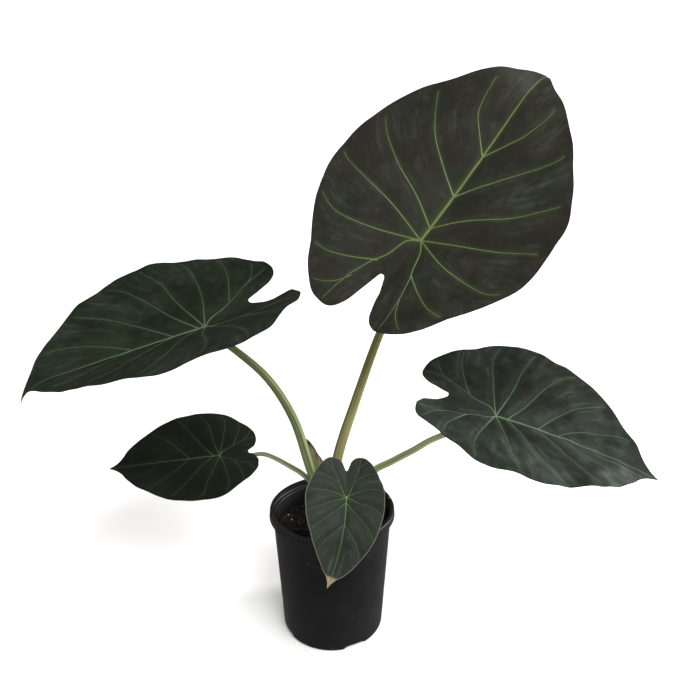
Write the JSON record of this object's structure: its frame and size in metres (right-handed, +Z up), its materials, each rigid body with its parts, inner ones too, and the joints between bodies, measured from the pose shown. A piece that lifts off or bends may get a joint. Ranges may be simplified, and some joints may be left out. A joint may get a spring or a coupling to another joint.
{
  "type": "potted alocasia plant",
  "caption": "Leafy alocasia plant with broad dark heart-shaped blades on arching stalks, growing in a round tapered plastic nursery pot.",
  "frame": {"origin": "centre of the pot's flat underside", "axes": "+Z up along the pot's axis; -Y is the side that the smallest leaf hangs over; +X is to the right seen from there"},
  "size_m": [0.6191, 0.3172, 0.6122],
  "materials": {
    "pot": "satin black polypropylene, lightly scuffed",
    "potting_mix": "dark, damp bark-based potting mix",
    "root_crown": "brown, ringed with old leaf scars",
    "blade_tall": "satin dark green leaf with paler veins",
    "blade_left": "satin dark green leaf with paler veins",
    "blade_low_left": "satin dark green leaf with paler veins",
    "blade_right": "satin dark green leaf with paler veins",
    "blade_front": "satin dark green leaf with paler veins",
    "stalk": "smooth satin olive green leaf stalk",
    "dry_sheath": "papery, tan to brown",
    "bark": "rough composted bark",
    "perlite": "matt white granule"
  },
  "bodies": {
    "root": {"pot": "pot", "potting_mix": "potting_mix", "root_crown": "root_crown", "blade_tall": "blade_tall", "blade_left": "blade_left", "blade_low_left": "blade_low_left", "blade_right": "blade_right", "blade_front": "blade_front", "stalk_tall": "stalk", "stalk_left": "stalk", "stalk_low_left": "stalk", "stalk_right": "stalk", "stalk_front": "stalk", "dry_sheath": "dry_sheath", "bark_chip_1": "bark", "bark_chip_2": "bark", "bark_chip_3": "bark", "bark_chip_4": "bark", "bark_chip_5": "bark", "bark_chip_6": "bark", "bark_chip_7": "bark", "bark_chip_8": "bark", "perlite_1": "perlite", "perlite_2": "perlite", "perlite_3": "perlite", "perlite_4": "perlite", "perlite_5": "perlite", "perlite_6": "perlite"}
  },
  "joints": []
}
